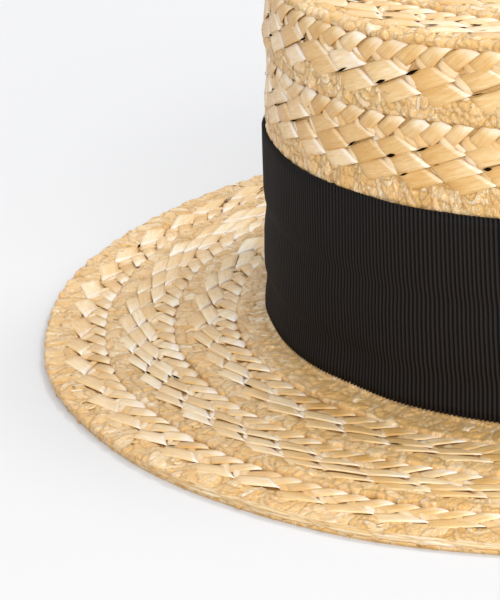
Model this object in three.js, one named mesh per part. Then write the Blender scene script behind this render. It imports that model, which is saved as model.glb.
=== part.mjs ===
import * as THREE from 'three';

// A straw boater: a flat, wide brim and a low crown with nearly straight sides and an almost flat top,
// built from overlapping rows of plaited straw, with a grosgrain ribbon round the crown.
// Millimetres, +Z up, X across the head, front of the hat at -Y. The hat rests on its brim at Z = 0,
// centred on the origin.

// Head opening, inside the crown (a 57.6 cm head)
const headWidth = 164;
const headLength = 201.2;

// Crown
const crownHeight = 101; // from the surface it rests on to where the top meets the shoulder
const sideLean = THREE.MathUtils.degToRad(4.95); // the sides lean inwards
const shoulderRadius = 6; // outside, between the sides and the top
const topSlope = THREE.MathUtils.degToRad(3); // fall of the slightly domed top at the shoulder

// Brim
const brimWidth = 63.8; // from the outside of the crown to the edge
const lipRadius = 1.5; // outside, between the sides and the brim

// Rows of plaited straw. The outer edge of each is crushed thick and lies over the next row out.
const braidThickness = 1.2; // flat part
const crushedThickness = 1.8; // outer edge
const pressedThickness = 0.9; // outer edge, pressed flat under the ribbon
const crushedRound = 0.8;
const rowOverlap = 8;
const gap = 0.3; // clearance between pieces

// Ribbon
const ribbonWidth = 53.1;
const ribbonThickness = 0.7;
const ribbonSag = 0.9; // depth that it sinks just below a row's edge
const ribbonSagDrop = 2.2; // distance of the deepest line below that edge
const ribbonSagReach = 8; // distance below that edge where it lies flat again

// Where the outer edge of each row lies, from the middle of the top outwards. A row on the top is a share
// of the way to the middle of the shoulder, one above the ribbon a share of the height between ribbon and
// top, one under the ribbon a share of the ribbon's width, one on the brim a share of the brim's width.
const topRows = [
  { name: 'top_row_1', edge: 0.211 },
  { name: 'top_row_2', edge: 0.484 },
  { name: 'top_row_3', edge: 0.757 },
  { name: 'top_row_4', edge: 1 },
];
const sideRows = [
  { name: 'side_row_1', edge: 0.51 },
  { name: 'side_row_2', edge: 0 },
];
const ribbonRows = [
  { name: 'side_row_3', edge: 0.622 },
  { name: 'side_row_4', edge: 0.228 },
];
const brimRows = [
  { name: 'brim_row_1', edge: 0.136 },
  { name: 'brim_row_2', edge: 0.411 },
  { name: 'brim_row_3', edge: 0.721 },
  { name: 'brim_row_4', edge: 1 },
];

// Facets
const ovalSegments = 40; // round the hat, a multiple of four
const shoulderSegments = 3;
const lipSegments = 3;
const closestCorners = 1; // a bend's facet this near a corner is left out

const overLevel = braidThickness + gap; // underside of a row where it lies over the next one
const fullThickness = overLevel + crushedThickness;
const halfWidth = headWidth / 2;
const ovalStretch = (headLength - headWidth) / 2; // every oval is this much longer than wide, each side
const ribbonBottom = fullThickness + 2 * gap; // clear of the lip's bend
const ribbonTop = ribbonBottom + ribbonWidth;

// The inside of the straw, drawn across the hat from the middle of the top to the edge of the brim:
// x is the oval's half width there, y the height.
function makeMeridian() {
  const shoulderInside = shoulderRadius - fullThickness;
  const lipInside = lipRadius + fullThickness;
  const sideX = (height) => halfWidth - height * Math.tan(sideLean);

  const topEdgeY = crownHeight - fullThickness;
  const shoulderY = topEdgeY - shoulderInside * Math.cos(topSlope);
  const sideTop = new THREE.Vector2(0, shoulderY + shoulderInside * Math.sin(sideLean));
  sideTop.x = sideX(sideTop.y);
  const shoulderX = sideTop.x - shoulderInside * Math.cos(sideLean);
  const topEdge = new THREE.Vector2(shoulderX + shoulderInside * Math.sin(topSlope), topEdgeY);
  const topMiddle = new THREE.Vector2(0, topEdgeY + (topEdge.x / 2) * Math.tan(topSlope));
  const topControl = new THREE.Vector2(topEdge.x / 2, topMiddle.y);

  const sideBottom = new THREE.Vector2(0, lipInside * (1 - Math.sin(sideLean)));
  sideBottom.x = sideX(sideBottom.y);
  const lipX = sideBottom.x + lipInside * Math.cos(sideLean);
  const brimEdge = new THREE.Vector2(halfWidth + fullThickness + brimWidth, 0);

  const upwards = Math.PI / 2;
  const path = new THREE.CurvePath();
  path.add(new THREE.QuadraticBezierCurve(topMiddle, topControl, topEdge));
  path.add(
    new THREE.EllipseCurve(
      shoulderX, shoulderY, shoulderInside, shoulderInside, upwards - topSlope, sideLean, true,
    ),
  );
  path.add(new THREE.LineCurve(sideTop, sideBottom));
  path.add(
    new THREE.EllipseCurve(
      lipX, lipInside, lipInside, lipInside, Math.PI + sideLean, Math.PI + upwards, false,
    ),
  );
  path.add(new THREE.LineCurve(new THREE.Vector2(lipX, 0), brimEdge));
  return path;
}

const meridian = makeMeridian();
const [topEnd, shoulderEnd, sideEnd, lipEnd, brimEnd] = meridian.getCurveLengths();
const sideEndHeight = meridian.curves[2].v2.y;
const bends = [
  ...bendSteps(topEnd, shoulderEnd, shoulderSegments),
  ...bendSteps(sideEnd, lipEnd, lipSegments),
];

// Distances along the meridian where a bend is faceted.
function bendSteps(start, end, count) {
  return Array.from({ length: count + 1 }, (_, i) => THREE.MathUtils.lerp(start, end, i / count));
}

function sideDistance(height) {
  return sideEnd - (height - sideEndHeight) / Math.cos(sideLean);
}

// A point at a distance along the meridian and a level above the inside of the straw.
function pointAt(distance, level) {
  const place = meridian.getPoint(distance / brimEnd);
  const direction = meridian.getTangent(distance / brimEnd);
  return new THREE.Vector2(place.x - level * direction.y, place.y + level * direction.x);
}

// One face of a row, given by its corners as distances and levels, laid along the meridian's bends.
function faceAlong(corners) {
  const first = corners[0].distance;
  const last = corners.at(-1).distance;
  const stations = corners.map((corner) => corner.distance);
  const isClear = (bend) => stations.every((station) => Math.abs(station - bend) > closestCorners);
  stations.push(...bends.filter((bend) => bend > first && bend < last && isClear(bend)));
  stations.sort((a, b) => a - b);
  return stations.map((distance) => {
    const next = Math.max(1, corners.findIndex((corner) => corner.distance >= distance));
    const from = corners[next - 1];
    const to = corners[next];
    const share = (distance - from.distance) / (to.distance - from.distance);
    return pointAt(distance, THREE.MathUtils.lerp(from.level, to.level, share));
  });
}

// The section of a row that starts under the row before it and ends over the next one.
function rowSection(row) {
  const { previousEdge, edge, thickness, isFirst, isLast } = row;
  const start = isFirst ? 0 : previousEdge - rowOverlap;
  const flatEnd = isFirst ? 0 : previousEdge + gap;
  const overStart = edge - rowOverlap - gap;
  const under = isLast ? 0 : overLevel;
  const top = overLevel + thickness;
  const round = Math.min(crushedRound, thickness / 2);

  const inner = [{ distance: start, level: 0 }];
  const outer = [{ distance: start, level: braidThickness }];
  if (!isFirst) {
    inner.push({ distance: flatEnd, level: 0 });
    outer.push({ distance: flatEnd, level: braidThickness });
  }
  if (!isLast) inner.push({ distance: overStart, level: under });
  inner.push({ distance: edge, level: under });
  outer.push({ distance: overStart, level: Math.min(top, overLevel + braidThickness) });
  outer.push({ distance: edge - rowOverlap, level: top });
  outer.push({ distance: edge - round, level: top });
  outer.push({ distance: edge, level: top - round });
  return [...faceAlong(inner), ...faceAlong(outer).reverse()];
}

// The ribbon's section: flat against the crushed edges under it, and sinking in just below each.
function ribbonSection() {
  const line = [{ height: ribbonTop, sink: 0 }];
  for (const row of ribbonRows) {
    const rowEdge = ribbonBottom + row.edge * ribbonWidth;
    line.push({ height: rowEdge, sink: 0 });
    line.push({ height: rowEdge - ribbonSagDrop, sink: ribbonSag });
    line.push({ height: rowEdge - ribbonSagReach, sink: 0 });
  }
  line.push({ height: ribbonBottom, sink: 0 });

  const lift = overLevel + pressedThickness + gap;
  const face = (level) => line.map(({ height, sink }) => (
    new THREE.Vector2(halfWidth - height * Math.tan(sideLean) + level - sink, height)
  ));
  return [...face(lift), ...face(lift + ribbonThickness).reverse()];
}

// A closed section carried round the hat. The round lathe is pulled out along the length into an oval.
function ovalLathe(section) {
  const reachesMiddle = section[0].x === 0;
  const outline = reachesMiddle ? section : [...section, section[0]];
  const geometry = new THREE.LatheGeometry(outline, ovalSegments);
  geometry.rotateX(Math.PI / 2);
  const position = geometry.getAttribute('position');
  const uv = geometry.getAttribute('uv');
  for (let i = 0; i < position.count; i += 1) {
    const turn = uv.getX(i) * 2 * Math.PI;
    position.setY(i, position.getY(i) - ovalStretch * Math.cos(turn));
  }
  geometry.computeVertexNormals();
  return geometry;
}

// All rows of straw, from the middle of the top outwards, with their edges as distances.
function listRows() {
  const shoulderMiddle = (topEnd + shoulderEnd) / 2;
  const aboveRibbon = ribbonTop + gap;
  const rows = [];
  const addRows = (table, thickness, distanceOf) => {
    for (const { name, edge } of table) rows.push({ name, thickness, edge: distanceOf(edge) });
  };
  addRows(topRows, crushedThickness, (share) => share * shoulderMiddle);
  addRows(sideRows, crushedThickness, (share) => (
    sideDistance(THREE.MathUtils.lerp(aboveRibbon, crownHeight, share))
  ));
  addRows(ribbonRows, pressedThickness, (share) => sideDistance(ribbonBottom + share * ribbonWidth));
  addRows(brimRows, crushedThickness, (share) => brimEnd - (1 - share) * brimWidth);
  return rows;
}

function makeStraw() {
  const straw = new THREE.Group();
  const material = new THREE.MeshStandardMaterial({ color: 0xe0be8c, roughness: 0.5 });
  const rows = listRows();
  rows.forEach((row, i) => {
    const section = rowSection({
      ...row,
      previousEdge: i > 0 ? rows[i - 1].edge : 0,
      isFirst: i === 0,
      isLast: i === rows.length - 1,
    });
    const mesh = new THREE.Mesh(ovalLathe(section), material);
    mesh.name = row.name;
    straw.add(mesh);
  });
  return straw;
}

function makeRibbon() {
  const material = new THREE.MeshStandardMaterial({ color: 0x211e1e, roughness: 0.8 });
  const ribbon = new THREE.Mesh(ovalLathe(ribbonSection()), material);
  ribbon.name = 'ribbon';
  return ribbon;
}

const boater = new THREE.Group();
boater.add(makeStraw(), makeRibbon());

export default boater;
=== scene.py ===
import math
from dataclasses import dataclass, replace

import bpy
import numpy as np
from mathutils import Matrix, Vector


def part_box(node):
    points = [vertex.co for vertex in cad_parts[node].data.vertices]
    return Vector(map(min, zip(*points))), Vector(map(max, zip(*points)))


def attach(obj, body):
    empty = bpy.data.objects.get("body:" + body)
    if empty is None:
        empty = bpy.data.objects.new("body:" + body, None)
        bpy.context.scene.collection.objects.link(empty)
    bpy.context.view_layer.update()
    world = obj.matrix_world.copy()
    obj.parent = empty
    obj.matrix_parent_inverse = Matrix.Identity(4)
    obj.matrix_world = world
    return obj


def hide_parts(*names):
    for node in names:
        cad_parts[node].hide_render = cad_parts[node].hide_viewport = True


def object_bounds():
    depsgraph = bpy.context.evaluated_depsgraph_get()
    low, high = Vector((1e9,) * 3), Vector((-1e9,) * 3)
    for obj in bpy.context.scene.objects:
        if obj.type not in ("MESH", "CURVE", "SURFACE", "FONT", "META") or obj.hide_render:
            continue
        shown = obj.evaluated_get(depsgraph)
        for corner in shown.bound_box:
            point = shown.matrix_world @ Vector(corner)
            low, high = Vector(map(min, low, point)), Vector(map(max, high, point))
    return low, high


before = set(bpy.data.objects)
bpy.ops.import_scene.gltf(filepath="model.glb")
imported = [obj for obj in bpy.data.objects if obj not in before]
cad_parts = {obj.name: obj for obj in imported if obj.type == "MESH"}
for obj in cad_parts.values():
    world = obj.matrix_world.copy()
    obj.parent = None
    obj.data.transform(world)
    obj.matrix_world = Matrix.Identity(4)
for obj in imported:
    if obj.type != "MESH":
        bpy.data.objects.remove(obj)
CAD_LOW, CAD_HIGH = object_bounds()

# A straw boater: overlapping rows of plaited straw and a grosgrain ribbon. Lengths are millimetres until a
# mesh is made. The directions of straws are degrees and all other angles radians.
MM = 0.001
FULL_TURN = 2 * math.pi

# The hat's form, as its solids have it
HALF_WIDTH = 82.0
CROWN_HEIGHT = 101.0
SIDE_LEAN = math.radians(4.95)
SHOULDER_RADIUS = 6.0
TOP_SLOPE = math.radians(3.0)
LIP_RADIUS = 1.5
THICKNESS = 3.3
STRETCH = ((CAD_HIGH.y - CAD_LOW.y) - (CAD_HIGH.x - CAD_LOW.x)) / 2 / MM
BRIM_EDGE = CAD_HIGH.x / MM

# Points of the section across the hat
LONG_POINTS = 200  # on each long stretch
BEND_POINTS = 60
PAST_BRIM = 4.0  # that the section runs on past the brim's edge

# Where to look for each stretch of that section
SIDE_FROM_X = 0.85 * HALF_WIDTH
SIDE_FROM_Z = 8.0
TOP_FROM_Z = 0.9 * CROWN_HEIGHT
TOP_TO_LENGTH = 110.0
BRIM_FROM_X = HALF_WIDTH + 6.0
BRIM_TO_Z = 10.0
EDGE_ROUND = 0.4  # an edge is widest this far below its surface

# Levels above the inside of the straw
MIDDLE_LEVEL = 2.0  # where lengths are measured
EDGE_LEVEL = 2.85  # surface of the plait at a row's outer edge
PRESSED_LEVEL = 2.3  # the same under the ribbon
LOW_LEVEL = 2.35  # surface of the plait next to the row above
TUCKED_LEVEL = 1.25  # surface of the plait where it goes under the next row
OVER_LEVEL = 1.5  # underside of a row where it lies over the next one
FLOOR_LEVEL = 0.02  # the lowest that anything lies
HIGHEST_LEVEL = 3.6  # of a loose folded piece

# The surface of a row, sloping down from its edge and then diving under the row above
SLOPE_FROM = 0.25  # of the row's width
SLOPE_TO = 0.75
DIVE_BEFORE = 0.6
DIVE_AFTER = 2.2

# The body of the plait, painted dark as the shade between its straws
BODY_DEPTH = 0.8  # below the surface
HIDDEN_DEPTH = 0.3  # more under the ribbon
BODY_STEPS = 180  # round the hat
BODY_CORNERS = (8, 5)  # on its upper side and its underside
BENT_CORNERS = (22, 14)  # the same where the row bends
BODY_TUCK = 7.5  # that it reaches under the row above
BODY_START = 0.35
CENTRE_CLEARANCE = 0.4  # from the middle of the top
SHADED_BODY_TONE = (0.35, 1.0, 0.5)  # lightness, warmth and height; dark, as painted shade
UNDER_TONE = (0.55, 0.6, 1.0)  # the same on its underside

# Plait
LINE_PITCH = 15.0  # along a row
LEAST_CELLS = 6
LINE_LEAN = 0.70  # of the pitch, that one line is shifted against the next
TUCKED_WIDTH = 5.6
ARC_POINTS = 721
TOP_CENTRE = 0.2  # half width of the hole at the middle of the top
PAST_EDGE = 0.35  # that the folds reach past a row's edge

# The ribbon
RIB_PITCH = 1.36
RIB_DEPTH = 0.4
RIB_POINTS = 4  # of each rib
RIBBON_THICKNESS = 0.7
RIBBON_SAG = 0.75
SAG_ABOVE = 1.0  # from where the ribbon starts to sink, down to a row's edge
SAG_DEEPEST = 3.2  # below that edge
SAG_REACH = 11.0
RIBBON_LEVEL = 3.4  # outside of the ribbon
RIBBON_LINES = 22
UNDER_RIBBON = 0.3  # from a solid's lowest point to its row's edge
RIB_SWAY = 0.35
SWAY_LENGTH = 9.0
RIPPLE_LENGTH = 7.0
RIPPLE_SWELL = 0.4
SCALLOP = 0.12  # of the edges, which follow the ribs
SCALLOP_POWER = 12
HEM = 0.5  # of the weave, round each edge

# Slow waves round the hat: what is added to a row's seed, the size, and how often each wave goes round
SLOW = (2, 3, 5, 9, 14)
ROW_WAVES = {
    "bend": (2, 1.5, (31, 47, 73)),
    "lobes": (3, 2.0, (7, 11, 17)),
    "slant": (4, 0.8, (19, 37, 53, 71)),
    "split": (5, 0.2, (9, 23, 41, 67, 97)),
    "rim": (6, 0.16, (17, 37, 59, 83, 131)),
    "edge": (7, 0.35, SLOW),
    "lower": (8, 0.35, (97, 151, 203, 271, 311)),
    "lines": (11, 0.4, (13, 21, 34, 55)),
}
RIBBON_WAVES = {
    "sway": (5, 1.0, SLOW),
    "fine_sway": (6, 0.3, (11, 19, 31)),
    "ripple": (8, 0.16, (5, 9, 14, 22)),
    "sink": (9, 0.3, SLOW),
}
WAVE_STARTS = 6.28  # a wave starts anywhere in about a turn
ROW_SEED = 100

# Studio, in metres
FLOOR_SIZE = 6.0
LIGHT_TARGET = (0, 0, 0.05)
LIGHT_COLOUR = (1.0, 0.983, 0.962)
WORLD_COLOUR = (0.955, 0.98, 1.0, 1)
WORLD_STRENGTH = 0.70
LIGHTS = (  # name, place, size, watts
    ("overhead", (0.3, 0.5, 2.2), (1.6, 1.2), 4),
    ("back", (0.9, 1.9, 1.0), (1.6, 0.9), 3),
    ("front", (-1.3, -3.1, 1.5), (3.0, 2.0), 114),
    ("right", (1.55, -0.7, 2.3), (1.0, 0.9), 40),
)

# Camera, from the photograph
CAMERA_PLACE = (-0.5138, -0.5651, 0.3009)
CAMERA_AZIMUTH = math.radians(-35.04)
CAMERA_ELEVATION = math.radians(20.75)
CAMERA_ROLL = math.radians(-6.50)
CAMERA_LENS = 175.8


@dataclass(frozen=True)
class Style:
    """How the plait looks in one part of the hat. Pairs of sizes run along a row and across it."""

    crushed_width: float  # of the outer edge, where the straws fold back
    line_step: float  # from one line of long straws to the next
    line_spread: float  # of the straws about their line
    light: float  # of the long straws
    warmth: float
    spread: float  # of their lightness
    turned: float  # how far their outline turns down
    gap_shadow_share: float  # of the gaps between straws that get a sheet of painted shadow
    lobe_size: tuple
    lobe_relief: float
    fold_size: tuple
    fold_relief: float
    fold_slant: float
    fold_light: float
    fold_warmth: float
    fold_grain: tuple
    loose_turn: float  # spread of the directions of loose folded pieces


CROWN = Style(
    crushed_width=5.6, line_step=3.6, line_spread=0.2, light=0.54, warmth=0.25, spread=0.24, turned=0.34,
    gap_shadow_share=0.5, lobe_size=(2.9, 3.0), lobe_relief=0.6, fold_size=(1.7, 1.9), fold_relief=0.48,
    fold_slant=0.3, fold_light=0.47, fold_warmth=1.0, fold_grain=(0.5, 1.7), loose_turn=32.0,
)
# The brim's long straws are painted lighter than the crown's, as a painted highlight on its top.
BRIM = Style(
    crushed_width=5.3, line_step=3.1, line_spread=0.12, light=0.7, warmth=0.3, spread=0.17, turned=0.27,
    gap_shadow_share=0.12, lobe_size=(3.4, 4.2), lobe_relief=0.55, fold_size=(2.0, 2.6), fold_relief=0.42,
    fold_slant=0.15, fold_light=0.5, fold_warmth=1.2, fold_grain=(1.0, 1.0), loose_turn=14.0,
)
LIP = replace(BRIM, crushed_width=10.4)
RIM = replace(BRIM, crushed_width=7.7, lobe_size=(3.4, 6.0))


def smooth(x, low=0.0, high=1.0):
    """0 below low, 1 above high, and a soft step between them."""
    t = np.clip((x - low) / (high - low), 0, 1)
    return t * t * (3 - 2 * t)


def lengths(x, y):
    """The distance along a line of points to each of them."""
    return np.concatenate([[0], np.cumsum(np.hypot(np.diff(x), np.diff(y)))])


def make_meridian():
    """The inside of the straw across the hat, from the middle of the top to past the brim's edge, as fine
    points and their outward directions, with their distances along the middle level."""
    inner = SHOULDER_RADIUS - THICKNESS
    lip = LIP_RADIUS + THICKNESS
    lean = math.tan(SIDE_LEAN)
    top_y = CROWN_HEIGHT - THICKNESS
    shoulder_y = top_y - inner * math.cos(TOP_SLOPE)
    side_top_y = shoulder_y + inner * math.sin(SIDE_LEAN)
    shoulder_x = HALF_WIDTH - side_top_y * lean - inner * math.cos(SIDE_LEAN)
    top_x = shoulder_x + inner * math.sin(TOP_SLOPE)
    rise = top_x / 2 * math.tan(TOP_SLOPE)
    side_end_y = lip * (1 - math.sin(SIDE_LEAN))
    lip_x = HALF_WIDTH - side_end_y * lean + lip * math.cos(SIDE_LEAN)

    t = np.linspace(0, 1, LONG_POINTS)
    top = np.stack([top_x * t, top_y + rise * (1 - t * t)], 1)
    angle = np.linspace(math.pi / 2 - TOP_SLOPE, SIDE_LEAN, BEND_POINTS)
    shoulder = np.stack([shoulder_x + inner * np.cos(angle), shoulder_y + inner * np.sin(angle)], 1)
    side_y = np.linspace(side_top_y, side_end_y, LONG_POINTS)
    side = np.stack([HALF_WIDTH - side_y * lean, side_y], 1)
    angle = np.linspace(math.pi + SIDE_LEAN, 1.5 * math.pi, BEND_POINTS)
    bend = np.stack([lip_x + lip * np.cos(angle), lip + lip * np.sin(angle)], 1)
    flat_x = np.linspace(lip_x, BRIM_EDGE + PAST_BRIM, LONG_POINTS)
    flat = np.stack([flat_x, np.zeros_like(flat_x)], 1)
    points = np.concatenate([top, shoulder[1:], side[1:], bend[1:], flat[1:]])

    step = np.gradient(points, axis=0)
    step /= np.linalg.norm(step, axis=1)[:, None]
    out = np.stack([-step[:, 1], step[:, 0]], 1)
    middle = points + MIDDLE_LEVEL * out
    return lengths(middle[:, 0], middle[:, 1]), middle, out


LENGTH, MIDDLE, OUT = make_meridian()


def across(distance, level):
    """Half width and height of a point at a distance along the meridian and a level."""
    lift = level - MIDDLE_LEVEL
    x = np.interp(distance, LENGTH, MIDDLE[:, 0]) + lift * np.interp(distance, LENGTH, OUT[:, 0])
    y = np.interp(distance, LENGTH, MIDDLE[:, 1]) + lift * np.interp(distance, LENGTH, OUT[:, 1])
    return x, y


def oval(turn, half):
    """The point of an oval of this half width at a turn."""
    return half * np.cos(turn), (half + STRETCH) * np.sin(turn)


def wander(turn, seed, size, waves):
    """A slow wave round the hat."""
    rng = np.random.default_rng(seed)
    total = 0
    for wave in waves:
        height = rng.normal() / math.sqrt(len(waves))
        total = total + height * np.sin(wave * turn + rng.uniform(0, WAVE_STARTS))
    return size * total


class Row:
    """One row of plait. u runs along it, v inwards from its outer edge, level up from the inside."""

    def __init__(self, name, index, edge, previous_edge):
        self.name = name
        self.seed = ROW_SEED * index
        self.edge = edge
        self.width = edge - previous_edge
        self.is_first = previous_edge == 0
        self.is_rim = name == "brim_row_4"
        self.is_lip = name == "brim_row_1"
        self.is_bent = name in ("top_row_4", "side_row_1", "brim_row_1")
        self.is_hidden = name in ("side_row_3", "side_row_4")
        self.meets_ribbon = name == "side_row_2"
        self.edge_level = PRESSED_LEVEL if self.is_hidden else EDGE_LEVEL
        self.style = {"brim_row_1": LIP, "brim_row_4": RIM}.get(name, BRIM if "brim" in name else CROWN)
        self.crushed = self.style.crushed_width
        half = float(across(edge - self.width / 2, MIDDLE_LEVEL)[0])
        self.turns = np.linspace(0, FULL_TURN, ARC_POINTS)
        self.arc = lengths(*oval(self.turns, half))
        self.length = self.arc[-1]
        self.cells = max(LEAST_CELLS, round(self.length / LINE_PITCH))
        self.pitch = self.length / self.cells

    def turn(self, u):
        return np.interp(np.mod(u, self.length), self.arc, self.turns)

    def round(self, count):
        """Even steps of u all the way round, as a column."""
        return np.linspace(0, self.length, count, endpoint=False)[:, None]

    def wave(self, turn, kind):
        seed, size, waves = ROW_WAVES[kind]
        return wander(turn, self.seed + seed, size, waves)

    def surface(self, v):
        slope = smooth(v, SLOPE_FROM * self.width, SLOPE_TO * self.width)
        dive = smooth(v, self.width - DIVE_BEFORE, self.width + DIVE_AFTER)
        low = LOW_LEVEL + (TUCKED_LEVEL - LOW_LEVEL) * dive
        return self.edge_level + (np.minimum(low, self.edge_level) - self.edge_level) * slope

    def place(self, u, v, level):
        turn = self.turn(u)
        distance = self.edge - v + self.wave(turn, "edge")
        x, z = across(np.maximum(distance, TOP_CENTRE), level)
        return np.stack([*oval(turn, x), np.maximum(z, FLOOR_LEVEL)], -1) * MM


class Sheets:
    """Collects many small grids of vertices into one mesh. Each vertex has its grain, which is its place
    across and along its straw, and its tone: lightness, warmth and height, 1 at the surface and 0 deep,
    where shade is painted in."""

    def __init__(self):
        self.points, self.faces, self.grain, self.tone, self.crumple = [], [], [], [], []
        self.material = []
        self.count = 0

    def add(self, points, grain, tone, wrap=False, crumple=0.0, material=0):
        """Arrays of shape sheets x rows x columns x 3."""
        n, rows, columns = points.shape[:3]
        index = np.arange(n * rows * columns).reshape(n, rows, columns) + self.count
        if wrap:
            index = np.concatenate([index, index[:, :1]], 1)
        corners = [index[:, :-1, :-1], index[:, 1:, :-1], index[:, 1:, 1:], index[:, :-1, 1:]]
        self.faces.append(np.stack(corners, -1).reshape(-1, 4))
        self.material.append(np.full(len(self.faces[-1]), material, np.int32))
        for kept, new in ((self.points, points), (self.grain, grain), (self.tone, tone)):
            kept.append(np.broadcast_to(new, points.shape).reshape(-1, 3))
        self.crumple.append(np.full(n * rows * columns, crumple))
        self.count += n * rows * columns

    def mesh(self, name):
        points = np.concatenate(self.points).astype(np.float32)
        faces = np.concatenate(self.faces).astype(np.int32)
        made = bpy.data.meshes.new(name)
        made.vertices.add(len(points))
        made.vertices.foreach_set("co", points.ravel())
        made.loops.add(faces.size)
        made.loops.foreach_set("vertex_index", faces.ravel())
        made.polygons.add(len(faces))
        made.polygons.foreach_set("loop_start", np.arange(0, faces.size, 4, dtype=np.int32))
        made.polygons.foreach_set("loop_total", np.full(len(faces), 4, np.int32))
        made.polygons.foreach_set("use_smooth", np.ones(len(faces), bool))
        made.polygons.foreach_set("material_index", np.concatenate(self.material))
        for label, values in (("grain", self.grain), ("tone", self.tone)):
            data = np.concatenate(values).astype(np.float32)
            made.attributes.new(label, "FLOAT_VECTOR", "POINT").data.foreach_set("vector", data.ravel())
        crumple = np.concatenate(self.crumple).astype(np.float32)
        made.attributes.new("crumple", "FLOAT", "POINT").data.foreach_set("value", crumple)
        made.update(calc_edges=True)
        made.validate()
        return made


# Grids of one straw: shares along it and across it. The first and last lines turn down as its edge.
CELL_ALONG = np.array([0, 0.02, 0.1, 0.25, 0.5, 0.72, 0.83, 0.91, 0.97, 1])
CELL_ACROSS = np.array([-1, -0.96, -0.5, 0.1, 0.6, 0.96, 1])
TUCKED_ALONG = CELL_ALONG[1:-1]
THIN_ALONG = np.array([0, 0.03, 0.3, 0.7, 0.97, 1])
THIN_ACROSS = np.array([-1, -0.5, 0.2, 1])
LUMP = np.array([-1, -0.6, 0, 0.6, 1])
GAP_SHADOW_ALONG = np.linspace(0, 1, 7)
GAP_SHADOW_ACROSS = np.array([-1, 0, 1])

GRAIN_RANGE = 100.0  # each straw has its own stretch of the grain
SHADE_DEPTH = 1.0  # below the surface, where a straw's painted shade is darkest
SHADE_RANGE = 1.2  # from there to where it is palest
SHARPEST_CORNER = 0.6
LEVEL_SPREAD = 0.05  # from straw to straw
THIN_EDGE = 0.12  # how far the outline of a thin straw turns down
STRAW_TILT = 0.02


def column(values, n):
    """One value for each straw, ready to meet the grid of its vertices."""
    return np.broadcast_to(values, n).reshape(-1, 1, 1)


def add_straws(
    row, sheets, rng, at_u, at_v, level, tone, across_straw, along_straw, crumple=0.0, painted_highlight=0.0,
):
    n = len(at_u)
    points = row.place(at_u, at_v, level)
    shuffled = column(rng.uniform(0, GRAIN_RANGE, n), n)
    grain = np.stack(np.broadcast_arrays(across_straw, along_straw, shuffled, level)[:3], -1)
    # Painted shade: a straw is darker the further it lies below the row's surface, and painted highlights
    # make it lighter.
    shade_from_depth = np.clip((level - row.surface(at_v) + SHADE_DEPTH) / SHADE_RANGE, 0, 1)
    shade = np.broadcast_arrays(column(tone[:, 0], n) + painted_highlight, column(tone[:, 1], n), shade_from_depth)
    sheets.add(points, grain, np.stack(shade, -1), crumple=crumple)


def lay(
    row, sheets, rng, u, v, angle, end_angle, length, width, height, tone, along, side, edge=0.3, cut=0.0,
    tilt=0.03, painted_highlight=None,
):
    """Adds straws lying on a row. Each is a parallelogram about (u, v) whose long sides run at angle and
    whose ends run at -end_angle; cut shortens its upper side at the far end. height gives its level above
    the row's surface from the shares along and across it, and edge how far its outline turns down."""
    n = len(u)
    b = side[None, None, :]
    t = along[None, :, None] * (1 - cut * (1 - b) / 2)
    angle = np.radians(column(angle, n))
    end_angle = np.radians(column(end_angle, n))
    length = column(length, n)
    corner = np.clip(angle + end_angle, SHARPEST_CORNER, math.pi - SHARPEST_CORNER)
    run = (t - 0.5) * length
    reach = b * column(width, n) / 2 / np.sin(corner)
    at_u = column(u, n) + run * np.cos(angle) + reach * np.cos(end_angle)
    at_v = column(v, n) + run * np.sin(angle) - reach * np.sin(end_angle)
    outline = np.zeros((1, len(along), len(side)))
    outline[:, [0, -1], :] = 1
    outline[:, :, [0, -1]] = 1
    level = row.surface(at_v) + height(along[None, :, None], b) - edge * outline
    tilts = rng.normal(0, tilt, (2, n))
    level = level + column(tilts[0], n) * run + column(tilts[1], n) * reach
    level = level + column(rng.normal(0, LEVEL_SPREAD, n), n)
    across_straw = reach * np.sin(angle + end_angle)
    # painted_highlight adds a painted highlight to each straw's lightness.
    paler_with_highlight = 0.0 if painted_highlight is None else painted_highlight(along[None, :, None], b)
    add_straws(row, sheets, rng, at_u, at_v, level, tone, across_straw, run, painted_highlight=paler_with_highlight)


# Lightness may lie this many spreads from its middle value, and warmth between these limits.
LIGHT_LIMITS = (-1.8, 2.0)
WARMTH_LIMITS = (-0.1, 1.6)
WARMTH_SPREAD = 0.3


def scatter(rng, n, middle, spread):
    """Values about a middle one, one for each straw."""
    return middle + rng.normal(0, spread, n)


def tones(rng, n, light, warmth, spread=0.16):
    """Random lightness and warmth, one pair for each straw."""
    darkest, palest = (light + limit * spread for limit in LIGHT_LIMITS)
    lights = np.clip(scatter(rng, n, light, spread), darkest, palest)
    return np.stack([lights, np.clip(scatter(rng, n, warmth, WARMTH_SPREAD), *WARMTH_LIMITS)], 1)


def cell_height(t, b):
    """A long straw comes out from under its neighbour and rolls over at its end."""
    lift, rise_end, roll_start, sag_start = 0.14, 0.14, 0.88, 0.5
    sunk, turned, sag = 0.5, 0.6, 0.1
    tilt, arch = 0.12, 0.08
    rise = -sunk * (1 - smooth(t, 0, rise_end))
    x = np.clip((t - roll_start) / (1 - roll_start), 0, 1)
    roll = -turned * (1 - np.sqrt(np.maximum(0, 1 - x * x))) - sag * smooth(t, sag_start, 0.9)
    return lift + rise + roll + tilt * b - arch * b * b


def cell_highlight(t, b):
    """A painted highlight where a straw rolls over at its end; also lighter along it and to one side."""
    end, along, side, base = 0.6, 0.35, 0.12, -0.05
    return end * smooth(t + 0.02 * b, 0.82, 0.95) + along * (t - 0.5) + side * b + base


def tucked_height(t, b):
    """A short straw sinks at both of its ends."""
    sunk, far_sunk, arch, tilt = 0.5, 0.15, 0.14, 0.06
    rise = -sunk * (1 - smooth(t, 0, 0.15))
    return rise - far_sunk * smooth(t, 0.7, 1) - arch * b * b + tilt * b


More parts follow.
